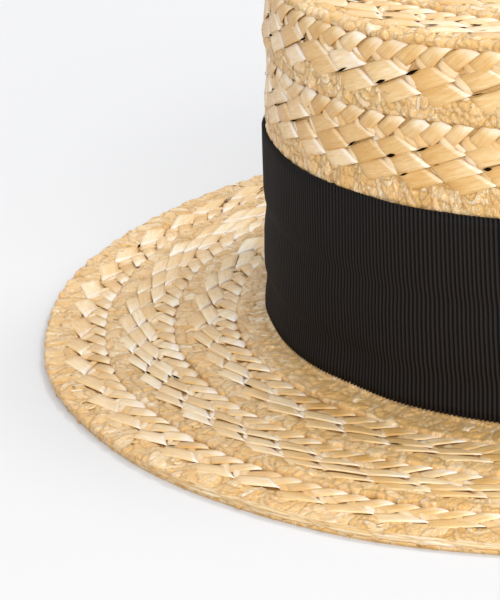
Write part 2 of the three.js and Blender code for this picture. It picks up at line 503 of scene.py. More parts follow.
def tucked_highlight(t, b):
    """A painted highlight towards its far end, all across it."""
    end, base = 0.9, -0.15
    return end * smooth(t, 0.45, 1.0) + base


def sliver_height(t, b):
    """A thin piece of a crossing straw is round and goes down steeply at its ends."""
    low, arch, ends = 0.04, 0.25, 0.4
    return -low - arch * b * b - ends * (2 * t - 1) ** 4


# Long straws. A pair is a middle value and its spread.
LONG_SHIFT = 0.4  # spread along their line
LONG_TURN = 1.5
LONG_LENGTH = (1.0, 0.03)  # of the room for one
LONG_OVERLAP = 1.12
LONG_WIDTH = (1.04, 0.06)
LONG_CUT = 0.24

# Slivers of the crossing straws, painted pale as a highlight
SLIVER_PAST = 0.4  # past the end of a long straw
SLIVER_SHIFT = (-0.3, 0.2)
SLIVER_SPREAD = (0.3, 0.15)
SLIVER_LEAN = -0.7  # of the angle of the long straws' ends
SLIVER_TURN = 3.0
SLIVER_CORNER = 80.0
SLIVER_WIDTHS = (1.4, 2.6)
SLIVER_HIGHLIGHT = 0.95

# Dark sheets of painted shadow in the openings between straws
GAP_SHADOW_PLACE = 0.58  # of a long straw's side
GAP_SHADOW_SHIFT = (1.2, 0.3)
GAP_SHADOW_LIFT = 0.31  # above the surface
GAP_SHADOW_TURN = 4.0
GAP_SHADOW_LENGTHS = (2.4, 5.0)
GAP_SHADOW_WIDTHS = (0.16, 0.5)
GAP_SHADOW_POINT = 1.5


def lay_line(row, sheets, rng, u, v, angle, end_angle, side, width):
    """One line of long straws."""
    style = row.style
    n = row.cells
    lay(
        row, sheets, rng, u, v,
        angle=scatter(rng, n, angle, LONG_TURN),
        end_angle=end_angle,
        length=LONG_OVERLAP * side * scatter(rng, n, *LONG_LENGTH),
        width=width * scatter(rng, n, *LONG_WIDTH),
        height=cell_height,
        tone=tones(rng, n, style.light, style.warmth, style.spread),
        along=CELL_ALONG, side=CELL_ACROSS, edge=style.turned, cut=LONG_CUT, tilt=STRAW_TILT,
        painted_highlight=cell_highlight,
    )


def lay_slivers(row, sheets, rng, u, v, end_angle, end):
    """The pieces of the crossing straws that show between two long ones."""
    n = row.cells
    lay(
        row, sheets, rng,
        scatter(rng, n, u + SLIVER_SHIFT[0], SLIVER_SPREAD[0]),
        scatter(rng, n, v + SLIVER_SHIFT[1], SLIVER_SPREAD[1]),
        angle=scatter(rng, n, SLIVER_LEAN * end_angle, SLIVER_TURN),
        end_angle=end_angle + SLIVER_CORNER,
        length=end,
        width=rng.uniform(*SLIVER_WIDTHS, n),
        height=sliver_height,
        # Pale, as a painted highlight
        tone=tones(rng, n, SLIVER_HIGHLIGHT, 0.0),
        along=THIN_ALONG, side=THIN_ACROSS, edge=THIN_EDGE,
    )


def lay_cells(row, sheets, rng):
    """The smooth middle of the plait: lines of long straws, with slivers of the crossing straws between."""
    n = row.cells
    room = row.width - row.crushed - (0 if row.is_first else TUCKED_WIDTH)
    lines = max(1, round(room / row.style.line_step))
    step = room / lines
    lean = LINE_LEAN * row.pitch
    rest = row.pitch - lean
    slope = math.atan2(step, lean)
    angle = math.degrees(slope)
    end_angle = math.degrees(math.atan2(step, rest))
    side = math.hypot(step, lean)
    end = math.hypot(step, rest)
    width = end * math.sin(math.radians(angle + end_angle))
    past_side = side / 2 + SLIVER_PAST
    tip = GAP_SHADOW_PLACE * side
    for line in range(lines):
        base = np.arange(n) * row.pitch - line * rest
        middle = row.crushed + (line + 0.5) * step + row.wave(row.turn(base), "lines")
        u = scatter(rng, n, base, LONG_SHIFT)
        v = scatter(rng, n, middle, row.style.line_spread)
        lay_line(row, sheets, rng, u, v, angle, end_angle, side, width)
        sliver_u = base + past_side * math.cos(slope)
        sliver_v = middle + past_side * math.sin(slope)
        lay_slivers(row, sheets, rng, sliver_u, sliver_v, end_angle, end)
        tip_u = base + tip * math.cos(slope) + rest / 2 + GAP_SHADOW_SHIFT[0]
        tip_v = middle + tip * math.sin(slope) - step / 2 + GAP_SHADOW_SHIFT[1]
        lay_gap_shadows(row, sheets, rng, tip_u, tip_v, angle)
    return row.crushed + room


# The straws next to the row above. A pair is a middle value and its spread.
SHORT_SHIFT = (0.6, 0.35)
SHORT_PLACE = (3.3, 0.25)  # inwards from the long straws
SHORT_DIRECTION = (38.0, 3.0)
SHORT_END = 30.0
SHORT_LENGTH = 9.6
SHORT_WIDTH = (4.55, 0.3)
SHORT_TONE = (0.6, 0.1, 0.24)  # lightness, warmth and spread
SHORT_EDGE = 0.26

# The crossing straws between them, some of them warm
CROSSING_SHIFT = 0.3
CROSSING_PLACE = (0.3, 0.2)
CROSSING_DIRECTION = (-40.0, 4.0)
CROSSING_END = 125.0
CROSSING_LENGTH = 5.4
CROSSING_WIDTHS = (2.4, 3.3)
CROSSING_LIGHT = 0.75
CROSSING_SPREAD = 0.15
WARM_SHARE = 0.45
WARM, COOL = 1.1, 0.15


def lay_tucked(row, sheets, rng, start):
    """The straws next to the row above: short and steep, with warm pieces of the crossing straws."""
    n = 2 * row.cells
    base = np.arange(n) * row.pitch / 2
    warmth = np.where(rng.uniform(0, 1, n) < WARM_SHARE, WARM, COOL)
    lights = scatter(rng, n, CROSSING_LIGHT, CROSSING_SPREAD)
    tone = np.stack([lights, scatter(rng, n, warmth, CROSSING_SPREAD)], 1)
    lay(
        row, sheets, rng,
        scatter(rng, n, base, CROSSING_SHIFT),
        start + scatter(rng, n, *CROSSING_PLACE),
        angle=scatter(rng, n, *CROSSING_DIRECTION),
        end_angle=CROSSING_END,
        length=CROSSING_LENGTH,
        width=rng.uniform(*CROSSING_WIDTHS, n),
        height=sliver_height,
        tone=tone,
        along=THIN_ALONG, side=THIN_ACROSS, edge=THIN_EDGE,
    )
    lay(
        row, sheets, rng,
        base + row.pitch / 4 + scatter(rng, n, *SHORT_SHIFT),
        start + scatter(rng, n, *SHORT_PLACE),
        angle=scatter(rng, n, *SHORT_DIRECTION),
        end_angle=SHORT_END,
        length=SHORT_LENGTH,
        width=scatter(rng, n, *SHORT_WIDTH),
        height=tucked_height,
        tone=tones(rng, n, *SHORT_TONE),
        along=TUCKED_ALONG, side=CELL_ACROSS, edge=SHORT_EDGE, tilt=STRAW_TILT, painted_highlight=tucked_highlight,
    )


def turned(u, v, angle, run, reach):
    """Places at a run along an angle and a reach to its right, from (u, v)."""
    n = len(u)
    at_u = column(u, n) + run * np.cos(angle) + reach * np.sin(angle)
    return at_u, column(v, n) + run * np.sin(angle) - reach * np.cos(angle)


def lay_gap_shadows(row, sheets, rng, u, v, angle):
    """Small dark sheets of painted shadow where the end of one straw leaves the next, pointed at both ends.
    """
    has_gap_shadow = rng.uniform(0, 1, len(u)) < row.style.gap_shadow_share
    u, v = u[has_gap_shadow], v[has_gap_shadow]
    n = len(u)
    t = GAP_SHADOW_ALONG[None, :, None]
    b = GAP_SHADOW_ACROSS[None, None, :]
    angle = np.radians(column(scatter(rng, n, angle, GAP_SHADOW_TURN), n))
    run = (t - 0.5) * column(rng.uniform(*GAP_SHADOW_LENGTHS, n), n)
    taper = 1 - np.abs(2 * t - 1) ** GAP_SHADOW_POINT
    reach = b * taper * column(rng.uniform(*GAP_SHADOW_WIDTHS, n), n)
    at_u, at_v = turned(u, v, angle, run, reach)
    points = row.place(at_u, at_v, row.surface(at_v) + GAP_SHADOW_LIFT)
    # The sheets take the second material, a painted shadow.
    sheets.add(points, points * 0, points * 0, material=1)


# Bulges and the creases between them, in shares of the step from one to the next
BULGE_PLACES = (0.05, 0.95)
BULGE_TILT = 0.35
BULGE_HEIGHT = 0.12
CREASE_WIDTH = 0.07
FAR_BELOW = -9.0


def creases(rng, u, v, length, step_u, step_v, slant=0.0):
    """Folds of crushed straw at (u, v): one bulge round each of many scattered places. Gives how high
    each point is in its bulge, how near the crease round it is, and two random values of that bulge."""
    count_u = max(3, round(length / step_u))
    count_v = int(np.ptp(v) / step_v) + 5
    x = (u + slant * v) / length * count_u
    y = (v - v.min()) / step_v + 2
    place = rng.uniform(*BULGE_PLACES, (2, count_u, count_v))
    tilt = rng.normal(0, BULGE_TILT, (2, count_u, count_v))
    values = rng.uniform(-1, 1, (3, count_u, count_v))
    best = np.full(u.shape, FAR_BELOW)
    second = np.full(u.shape, FAR_BELOW)
    chosen = np.zeros((2, *u.shape))
    for i in (-1, 0, 1):
        for j in (-1, 0, 1):
            cell_x = np.floor(x).astype(int) + i
            cell_y = np.floor(y).astype(int) + j
            key = (cell_x % count_u, np.clip(cell_y, 0, count_v - 1))
            dx = x - cell_x - place[0][key]
            dy = y - cell_y - place[1][key]
            slope = tilt[0][key] * dx + tilt[1][key] * dy
            height = -(dx * dx + dy * dy) + slope + BULGE_HEIGHT * values[2][key]
            is_best = height > best
            second = np.where(is_best, best, np.maximum(second, height))
            best = np.where(is_best, height, best)
            chosen = np.where(is_best, values[:2][(slice(None), *key)], chosen)
    return best, np.exp(-(best - second) / CREASE_WIDTH), chosen[0], chosen[1]


# The crumpled sheet
SHEET_STEP = 0.46  # between its points
SHEET_START = (-0.1, 0.0)  # its first lines, where its edge turns down
SHEET_FIRST = 0.4
SHEET_PAST = 1.6  # that it goes on under the long straws
BEND_REACH = 6.0  # from its edge to where its folds wander most
BULGE_RAISED = 0.15
SHEET_LOWERED = 0.1
LOBE_HEIGHT = 0.12
CREASE_DEPTH = 0.12
INNER_FALL = 0.4
INNER_REACH = 0.5
OUTER_FALL = 0.5
OUTER_REACH = 0.7
OUTER_SHADE = 0.9
BULGE_OUT = 0.5  # how far bulges and lobes push the outer edge out
LOBE_OUT = 0.2
SHEET_OUT = 0.1
OUT_REACH = 1.5
LIP_INSET = 0.8  # of the folds from the smooth lip
GRAIN_SHIFT = (3, 5, 4)  # from lobe to lobe

# The lowest folds above the ribbon go down behind it
TUCK_BEHIND = 1.2
TUCK_REACH = (0.2, 2.6)
PRESSED_RELIEF = 0.15
PRESSED_FROM = (0.1, 0.3)


LIP_FROM = (2.95, 3.35)  # turns between which the brim's smooth lip comes in
LIP_TO = (5.4, 6.0)  # and goes out again


def lip_share(turn):
    """Where the brim ends in a smooth lip; elsewhere the folds run over its edge."""
    return smooth(turn, *LIP_FROM) * (1 - smooth(turn, *LIP_TO))


def tuck_behind_ribbon(v, at_v, level):
    """Draws the lowest folds down behind the ribbon's upper edge, and presses them flat there."""
    at_v = at_v - TUCK_BEHIND * (1 - smooth(v, *TUCK_REACH))
    pressed = np.minimum(level, PRESSED_LEVEL + PRESSED_RELIEF)
    return at_v, level + (pressed - level) * smooth(-at_v, *PRESSED_FROM)


def crushed_level(row, v, end, bulge, crease, fold, lobe):
    """The level of the crumpled sheet, which goes down at both of its edges."""
    style = row.style
    level = row.surface(v) + style.lobe_relief * (bulge + BULGE_RAISED) - style.fold_relief * fold
    level = level + LOBE_HEIGHT * lobe - CREASE_DEPTH * crease - SHEET_LOWERED
    level = level - INNER_FALL * smooth(v, row.crushed - INNER_REACH, end)
    level = level - OUTER_FALL * np.clip(1 - v / OUTER_REACH, 0, 1) ** 2
    level[:, 0] = OVER_LEVEL
    return level


def crushed_tone(style, v, crease, ridge, first, other):
    """Lightness, warmth and height: each lobe has its own; ridges get a painted highlight, and creases and
    the outer edge painted shade.
    """
    varied, ridge_highlight, crease_shade = 0.3, 0.6, 0.15
    varied_warmth, highlight_cooling = 0.8, 0.9
    crease_shade_depth, outer_shade_depth = 0.55, 0.3
    light = style.fold_light + varied * first + ridge_highlight * ridge**2 - crease_shade * crease
    warmth = style.fold_warmth + varied_warmth * other - highlight_cooling * ridge
    height = 1 - crease_shade_depth * crease - outer_shade_depth * np.clip(1 - v / OUTER_SHADE, 0, 1)
    return np.stack([light, warmth, height], -1)


def lay_crushed(row, sheets, rng):
    """The outer edge, where the straws fold back: one sheet crumpled into lobes, folds and sharp creases."""
    style = row.style
    end = row.crushed + SHEET_PAST
    v = np.concatenate([SHEET_START, np.arange(SHEET_FIRST, end, SHEET_STEP), [end]])[None, :]
    u, v = np.broadcast_arrays(row.round(int(row.length / SHEET_STEP)), v)
    turn = row.turn(u)
    bent = u + row.wave(turn, "bend") * smooth(v, 0, BEND_REACH)
    slant = style.fold_slant + row.wave(turn, "slant")
    bulge, crease, first, other = creases(rng, bent, v, row.length, *style.lobe_size, slant)
    fold, ridge, _, _ = creases(rng, bent, v, row.length, *style.fold_size, -slant)
    lobe = np.sin(FULL_TURN * u / (row.pitch / 2) + row.wave(turn, "lobes"))

    level = crushed_level(row, v, end, bulge, crease, fold, lobe)
    shift = BULGE_OUT * bulge + LOBE_OUT * lobe + SHEET_OUT
    outermost = LIP_INSET * lip_share(turn) - SHEET_OUT if row.is_rim else -PAST_EDGE
    at_v = np.maximum(v - shift * (1 - smooth(v, 0, OUT_REACH)), outermost)
    if row.meets_ribbon:
        at_v, level = tuck_behind_ribbon(v, at_v, level)

    tone = crushed_tone(style, v, crease, ridge, first, other)
    grain_u, grain_v = style.fold_grain
    to_u, to_v, to_w = GRAIN_SHIFT
    grain = np.stack([u * grain_u + to_u * first, v * grain_v + to_v * other, to_w * first], -1)
    sheets.add(row.place(u, at_v, level)[None], grain[None], tone[None], wrap=True, crumple=1.0)


# Loose folded pieces
LOOSE_ROOM = 45.0  # square millimetres for each
LOOSE_MARGINS = (2.4, 1.0)
LOOSE_LENGTHS = (2.4, 4.2)
LOOSE_WIDTHS = (0.9, 1.8)
LOOSE_LIFT = (-0.1, 0.1)
LOOSE_PUFF = (0.1, 0.25)
LOOSE_TONE = (0.55, 0.6, 0.25)
LOOSE_SQUARENESS = 2.4
LOOSE_DOME = 1.3
LOOSE_RIDGE = (-0.5, 0.5)
LOOSE_BEND = (0.1, 0.5)
LOOSE_TILT = 0.10
LOOSE_ROLL = 1.6  # how much more they tilt across than along
LOOSE_ROUGHNESS = 0.07
LOOSE_DIRECTION = 90
LOOSE_FALL = (0.7, 1.2, 1.3)  # at the outer edge: how deep, from where, and its limit


def lay_lumps(row, sheets, rng):
    """Loose folded pieces on the outer edge: rounded domes whose rims dive between their neighbours."""
    n = int(row.length * row.crushed / LOOSE_ROOM)
    outer, inner = LOOSE_MARGINS
    u = rng.uniform(0, row.length, n)
    v = rng.uniform(outer, row.crushed - inner, n)
    angle = np.radians(column(scatter(rng, n, LOOSE_DIRECTION, row.style.loose_turn), n))
    length = column(rng.uniform(*LOOSE_LENGTHS, n), n)
    width = column(rng.uniform(*LOOSE_WIDTHS, n), n)
    lift = column(rng.uniform(*LOOSE_LIFT, n), n)
    puff = column(rng.uniform(*LOOSE_PUFF, n), n)
    tone = tones(rng, n, *LOOSE_TONE)

    a, b = np.meshgrid(LUMP, LUMP, indexing="ij")
    a, b = a[None], b[None]
    y = b * np.sqrt(1 - a * a / LOOSE_SQUARENESS)
    run = a * np.sqrt(1 - b * b / LOOSE_SQUARENESS) * length / 2
    reach = y * width / 2
    at_u, at_v = turned(u, v, angle, run, reach)
    at_v = np.maximum(at_v, -PAST_EDGE)
    size = np.maximum(np.abs(a), np.abs(b))
    ridge = column(rng.uniform(*LOOSE_RIDGE, n), n)
    bend = column(rng.uniform(*LOOSE_BEND, n), n)
    level = row.surface(at_v) + lift + puff * (1 - size**2 * LOOSE_DOME) - bend * np.abs(y - ridge)
    tilts = rng.normal(0, LOOSE_TILT, (2, n))
    level = level + column(tilts[0], n) * run + column(tilts[1], n) * reach * LOOSE_ROLL
    fall, fall_from, fall_limit = LOOSE_FALL
    level = level - fall * np.clip(1 - at_v / fall_from, 0, fall_limit) ** 2
    level = np.minimum(level + rng.normal(0, LOOSE_ROUGHNESS, level.shape), HIGHEST_LEVEL)
    add_straws(row, sheets, rng, at_u, at_v, level, tone, reach, run, crumple=1.0)


RIM_STEP = 0.6
RIM_LINES = 17
RIM_TOP = 0.49 * math.pi  # angle where the rim starts, on top of the brim
RIM_BOTTOM = -0.46 * math.pi
RIM_ROUND = 1.5  # length of the rim's arc for each radian
RIM_MIDDLE = 1.62  # level
RIM_HEIGHT = 1.3  # from there to its top
RIM_INSET = 1.05
RIM_OUT = 1.0  # from there to its face
RIM_UNDER = 0.55  # how square it is below
RIM_LEVELS = (0.03, 3.2)
RIM_SWELL = 0.5  # how much a fold that stands out also stands up
TOP_SUNK = 0.25  # where there is no smooth lip
TOP_FROM = (1.8, 2.8)
RIM_SPLIT = 1.15  # level between the lip and the rough layer under it
SPLIT_HEIGHT = 1.35
SPLIT_BLUR = 0.12
# Width of the painted shade along the split between the lip and the rough layer
SPLIT_SHADE_WIDTH = 0.16
LIP_FOLDS = (13.0, 0.9, 2.0)  # length, width and slant
ROUGH_FOLDS = (1.6, 0.8)
SPOT_LIGHTS = (0.35, 0.5)  # dark spots lie in folds with these values
SPOT_FOLDS = (-0.4, -0.15)
SPOT_DEPTH = 0.9
LIP_RELIEF = 0.55
LIP_CREASE = 0.25
ROUGH_RELIEF = 0.8
LOW_RELIEF = 0.4  # more on the lowest layer
LOW_SUNK = 0.1


def lay_rim(row, sheets, rng):
    """The brim's outermost face: a rounded lip of straws running round it, over a rough lower layer."""
    angle = np.linspace(RIM_TOP, RIM_BOTTOM, RIM_LINES)[None, :]
    u, angle = np.broadcast_arrays(row.round(int(row.length / RIM_STEP)), angle)
    turn = row.turn(u)
    down = (RIM_TOP - angle) * RIM_ROUND
    fold, crease, light, warmth = creases(rng, u, down, row.length, *LIP_FOLDS)
    short_fold, short_crease, short_light, _ = creases(rng, u, down, row.length, *ROUGH_FOLDS)
    lip = lip_share(turn)
    above_split = RIM_MIDDLE + SPLIT_HEIGHT * np.sin(angle) - RIM_SPLIT - row.wave(turn, "split")
    is_low = smooth(-above_split, -SPLIT_BLUR, SPLIT_BLUR)
    smooth_lip = lip * (1 - is_low)
    rough = 1 - smooth_lip
    spot = is_low * smooth(short_light, *SPOT_LIGHTS) * smooth(short_fold, *SPOT_FOLDS)

    rough_out = (ROUGH_RELIEF + LOW_RELIEF * is_low) * short_fold * rough
    out = LIP_RELIEF * fold * smooth_lip + rough_out - LOW_SUNK * is_low
    out = out - SPOT_DEPTH * spot + row.wave(turn, "lower") * is_low
    out = out + row.wave(turn, "rim") - LIP_CREASE * crease * smooth_lip
    at_v = RIM_INSET - (RIM_OUT + out) * np.cos(angle) ** np.where(angle < 0, RIM_UNDER, 1.0)
    level = np.clip(RIM_MIDDLE + (RIM_HEIGHT + RIM_SWELL * out) * np.sin(angle), *RIM_LEVELS)
    level = level - TOP_SUNK * (1 - lip) * smooth(level, *TOP_FROM)

    # Painted light on the rim: the smooth lip is painted paler as a highlight, and the split under it, the
    # creases and the sunk spots are painted deep as shade.
    split_shade = np.exp(-((above_split / SPLIT_SHADE_WIDTH) ** 2))
    paler_with_highlight = 0.3 * light + 0.4 * short_light * rough + 0.3 * smooth_lip
    tone = np.stack([
        0.56 + paler_with_highlight - 0.3 * is_low - 0.35 * crease * lip,
        1.05 + 0.4 * warmth + 0.3 * is_low - 0.4 * smooth_lip,
        1 - 0.7 * split_shade - 0.8 * short_crease * is_low - 0.3 * short_crease * rough - 1.6 * spot,
    ], -1)
    grain = np.stack([down * 1.2 + 4 * light, u, 3 * warmth], -1)
    sheets.add(row.place(u, at_v, level)[None], grain[None], tone[None], wrap=True, crumple=0.5)


def body_section(row):
    """The solid plait under the straws, as (v, level) corners round its section, and the number of the
    first corner on its underside."""
    tuck = row.edge - CENTRE_CLEARANCE if row.is_first else row.width + BODY_TUCK
    under = FLOOR_LEVEL if row.is_rim else OVER_LEVEL
    deep = BODY_DEPTH + (HIDDEN_DEPTH if row.is_hidden else 0.0)
    on_top, below = BENT_CORNERS if row.is_bent else BODY_CORNERS
    top = [(v, float(row.surface(v)) - deep) for v in np.linspace(1.0, row.width, on_top)]
    end = [(tuck, TUCKED_LEVEL - 0.5 * BODY_DEPTH), (tuck, 0.0)]
    bottom = [(v, under) for v in np.linspace(row.crushed + 2.6, 0.5, below)]
    start = (BODY_START, (under + row.edge_level) / 2 - 0.3)
    return [start] + top + end + [(row.width + 0.2, 0.0)] + bottom, len(top) + 2


def add_body(row, sheets):
    section, first_under = body_section(row)
    section = np.array(section + section[:1])
    shape = (BODY_STEPS, len(section))
    at_u = np.broadcast_to(row.round(BODY_STEPS), shape)
    at_v = np.broadcast_to(section[None, :, 0], shape)
    level = np.broadcast_to(section[None, :, 1], shape)
    points = row.place(at_u, at_v, level)
    grain = np.stack([at_v, at_u, level * 0], -1)
    is_under = np.broadcast_to((np.arange(len(section)) >= first_under)[None, :], shape)
    tone = np.where(is_under[..., None], UNDER_TONE, SHADED_BODY_TONE)
    sheets.add(points[None], grain[None], tone[None], wrap=True, crumple=0.7)


def socket(node, name, value):
    node.inputs[name].default_value = value


class Nodes:
    """Short calls for building one material."""

    def __init__(self, name):
        self.material = bpy.data.materials.new(name)
        self.material.use_nodes = True
        self.tree = self.material.node_tree
        self.shader = self.tree.nodes["Principled BSDF"]

    def new(self, kind, **values):
        node = self.tree.nodes.new(kind)
        for key, value in values.items():
            setattr(node, key, value)
        return node

    def link(self, a, b):
        self.tree.links.new(a, b)

    def set(self, name, value):
        socket(self.shader, name, value)

    def attribute(self, name, output="Vector"):
        return self.new("ShaderNodeAttribute", attribute_name=name).outputs[output]

    def math(self, operation, a, b=0.0, clamp=False):
        node = self.new("ShaderNodeMath", operation=operation, use_clamp=clamp)
        for i, value in enumerate((a, b)):
            if isinstance(value, (int, float)):
                node.inputs[i].default_value = value
            else:
                self.link(value, node.inputs[i])
        return node.outputs[0]

    def noise(self, vector, scale, detail=2.0, roughness=0.5):
        scaled = self.new("ShaderNodeVectorMath", operation="MULTIPLY")
        self.link(vector, scaled.inputs[0])
        scaled.inputs[1].default_value = scale
        node = self.new("ShaderNodeTexNoise")
        self.link(scaled.outputs[0], node.inputs["Vector"])
        socket(node, "Scale", 1.0)
        socket(node, "Detail", detail)
        socket(node, "Roughness", roughness)
        return node.outputs["Fac"]

    def add_noise(self, value, noise, strength):
        """A value that a noise makes higher and lower."""
        change = self.math("MULTIPLY", self.math("SUBTRACT", noise, 0.5), strength)
        return self.math("ADD", value, change)

    def ramp(self, value, stops):
        """The first two stops are its ends."""
        node = self.new("ShaderNodeValToRGB")
        self.link(value, node.inputs[0])
        ramp = node.color_ramp
        for i, (position, colour) in enumerate(stops):
            point = ramp.elements[i] if i < 2 else ramp.elements.new(position)
            point.position = position
            point.color = (*colour, 1)
        return node.outputs[0]

    def mix(self, factor, a, colour):
        """Colour a with a share of a plain colour."""
        node = self.new("ShaderNodeMix", data_type="RGBA")
        self.link(factor, node.inputs[0])
        self.link(a, node.inputs[6])
        node.inputs[7].default_value = (*colour, 1)
        return node.outputs[2]

    def split(self, vector):
        node = self.new("ShaderNodeSeparateXYZ")
        self.link(vector, node.inputs[0])
        return node.outputs

    def bump(self, height, distance, strength):
        node = self.new("ShaderNodeBump")
        self.link(height, node.inputs["Height"])
        socket(node, "Distance", distance)
        socket(node, "Strength", strength)
        self.link(node.outputs[0], self.shader.inputs["Normal"])


# Colours of straw by lightness, from its ends inwards
STRAW_COLOURS = [
    (0.0, (0.64, 0.35, 0.09)),
    (1.0, (1.0, 0.95, 0.86)),
    (0.25, (0.74, 0.47, 0.185)),
    (0.46, (0.845, 0.597, 0.295)),
    (0.70, (0.945, 0.782, 0.53)),
]
WARM_STRAW = (0.78, 0.42, 0.11)
# Dark warm straw that deep points are mixed towards, as painted shade
SHADED_STRAW = (0.56, 0.27, 0.06)

# How fine each pattern is across a straw, along it, and from one straw to the next
FIBRES = (5.0, 0.22, 9.0)
FINE_FIBRES = (16.0, 0.5, 7.0)
STREAKS = (1.1, 0.16, 9.0)
PATCHES = (0.5, 0.3, 5.0)
WRINKLES = (1.5, 0.35, 3.0)

# The same along the ribbon, up it and into it
THREADS = (0.9, 2.4, 1.0)
CROSS_THREADS = (6.0, 1.2, 3.0)
BLACKS = [(0.35, (0.001, 0.0007, 0.0006)), (0.85, (0.026, 0.0215, 0.020))]


def wrinkle_lines(made, grain):
    """Thin lines on crumpled straw, where a noise is near its middle value; they make bumps and painted
    glints.
    """
    half_width, sharpness = 0.04, 25.0
    noise = made.noise(grain, WRINKLES)
    away = made.math("ABSOLUTE", made.math("SUBTRACT", noise, 0.5))
    lines = made.math("MULTIPLY", made.math("SUBTRACT", half_width, away), sharpness, clamp=True)
    return made.math("MULTIPLY", lines, made.attribute("crumple", "Fac"))


def straw_colour(made, grain, tone, fibres, wrinkles):
    light = made.add_noise(tone[0], fibres, 1.15)
    light = made.add_noise(light, made.noise(grain, FINE_FIBRES), 0.35)
    # Painted highlight: wrinkle lines are made paler and, below, less warm, as glints.
    light = made.math("ADD", light, made.math("MULTIPLY", wrinkles, 0.5))
    light = made.add_noise(light, made.noise(grain, STREAKS), 0.7)
    colour = made.ramp(made.math("MULTIPLY", light, 0.7), STRAW_COLOURS)
    patches = made.noise(grain, PATCHES)
    warmth = made.math("MULTIPLY", tone[1], made.math("ADD", patches, 0.2))
    warmth = made.math("SUBTRACT", warmth, made.math("MULTIPLY", wrinkles, 0.25), clamp=True)
    colour = made.mix(made.math("MULTIPLY", warmth, 0.55), colour, WARM_STRAW)
    # Painted shade: deep points are mixed towards dark warm straw.
    deep = made.math("SUBTRACT", 1.0, tone[2])
    return made.mix(made.math("MULTIPLY", deep, 0.75, clamp=True), colour, SHADED_STRAW)


def straw_material():
    made = Nodes("plaited_straw")
    grain = made.attribute("grain")
    tone = made.split(made.attribute("tone"))
    fibres = made.noise(grain, FIBRES, 3.0, 0.6)
    wrinkles = wrinkle_lines(made, grain)
    made.link(straw_colour(made, grain, tone, fibres, wrinkles), made.shader.inputs["Base Color"])
    rough = made.math("ADD", 0.30, made.math("MULTIPLY", fibres, 0.25))
    made.link(rough, made.shader.inputs["Roughness"])
    made.set("Specular IOR Level", 0.6)
    made.set("Coat Weight", 0.25)
    made.set("Coat Roughness", 0.22)
    relief = made.math("ADD", fibres, made.math("MULTIPLY", wrinkles, 1.6))
    made.bump(relief, 0.18 * MM, 0.7)
    return made.material


def gap_shadow_material():
    made = Nodes("shadow_between_straws")
    made.set("Base Color", (0.012, 0.005, 0.002, 1))
    made.set("Roughness", 1.0)
    made.set("Specular IOR Level", 0.0)
    return made.material


def ribbon_material():
    """Black, with painted light on the crests of the ribs and painted shade between them, and fine threads.
    """
    made = Nodes("grosgrain")
    rib_shading_share, thread_share = 0.7, 0.6
    grain = made.attribute("grain")
    threads = made.noise(grain, THREADS, 2.0, 0.6)
    cross = made.noise(grain, CROSS_THREADS)
    weave = made.math("MULTIPLY", threads, thread_share)
    weave = made.math("ADD", weave, made.math("MULTIPLY", cross, 1 - thread_share))
    rib_light_and_shade = made.split(made.attribute("tone"))[0]
    weave = made.math("MULTIPLY", weave, 1 - rib_shading_share)
    light = made.math("ADD", made.math("MULTIPLY", rib_light_and_shade, rib_shading_share), weave)
    colour = made.ramp(light, BLACKS)
    made.link(colour, made.shader.inputs["Base Color"])
    made.set("Roughness", 0.6)
    made.set("Specular IOR Level", 0.12)
    made.bump(threads, 0.04 * MM, 0.5)
    return made.material


def floor_material():
    made = Nodes("pale_floor")
    made.set("Base Color", (0.58, 0.58, 0.59, 1))
    made.set("Emission Color", (1.0, 1.0, 1.0, 1))
    made.set("Emission Strength", 0.14)
    made.set("Roughness", 0.9)
    made.set("Specular IOR Level", 0.0)
    return made.material


def add_piece(name, mesh, materials, nodes):
    piece = bpy.data.objects.new(name, mesh)
    bpy.context.scene.collection.objects.link(piece)
    for material in materials:
        mesh.materials.append(material)
    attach(piece, "root")
    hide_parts(*nodes)


def edge_distance(node):
    """Where a row's outer edge lies along the meridian, read from its solid."""
    low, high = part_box(node)
    x, z = across(LENGTH, EDGE_LEVEL - EDGE_ROUND)
    if node.startswith("side"):
        side = (x > SIDE_FROM_X) & (z > SIDE_FROM_Z)
        return float(np.interp(-low.z / MM, -z[side], LENGTH[side]))
    if node.startswith("top"):
        stretch = (z > TOP_FROM_Z) & (LENGTH < TOP_TO_LENGTH)
    else:
        stretch = (x > BRIM_FROM_X) & (z < BRIM_TO_Z)
    return float(np.interp(high.x / MM, x[stretch], LENGTH[stretch]))


def make_rows():
    names = [f"{part}_row_{i}" for part in ("top", "side", "brim") for i in range(1, 5)]
    edges = [0, *map(edge_distance, names)]
    return [Row(name, i, edges[i], edges[i - 1]) for i, name in enumerate(names, 1)]


def make_row(row, materials):
    """One row with all that shows of it. The one that bends into the brim is crushed from side to side,
    and those under the ribbon stay bare."""
    rng = np.random.default_rng(row.seed)
    sheets = Sheets()
    add_body(row, sheets)
    if not row.is_hidden:
        if not row.is_lip:
            start = lay_cells(row, sheets, rng)
            if not row.is_first:
                lay_tucked(row, sheets, rng, start)
        lay_crushed(row, sheets, rng)
        lay_lumps(row, sheets, rng)
    if row.is_rim:
        lay_rim(row, sheets, rng)
    add_piece(f"plait_{row.name}", sheets.mesh(row.name), materials, [row.name])


def ribbon_lift(at, z, wave):
    """How far out the ribbon's face lies: in ribs, sunk below each row under it, and slightly rippled."""
    sink = 0
    for name in ("side_row_3", "side_row_4"):
        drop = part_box(name)[0].z / MM + UNDER_RIBBON - z
        shape = smooth(drop, -SAG_ABOVE, SAG_DEEPEST) * (1 - smooth(drop, SAG_DEEPEST, SAG_REACH))
        sink = sink + RIBBON_SAG * shape
    ripple = wander(at, *RIBBON_WAVES["ripple"]) * (1 + RIPPLE_SWELL * np.sin(z / RIPPLE_LENGTH))
    sink = sink * (1 + wander(at, *RIBBON_WAVES["sink"]))
    return RIBBON_LEVEL + RIB_DEPTH / 2 * wave - sink + ripple


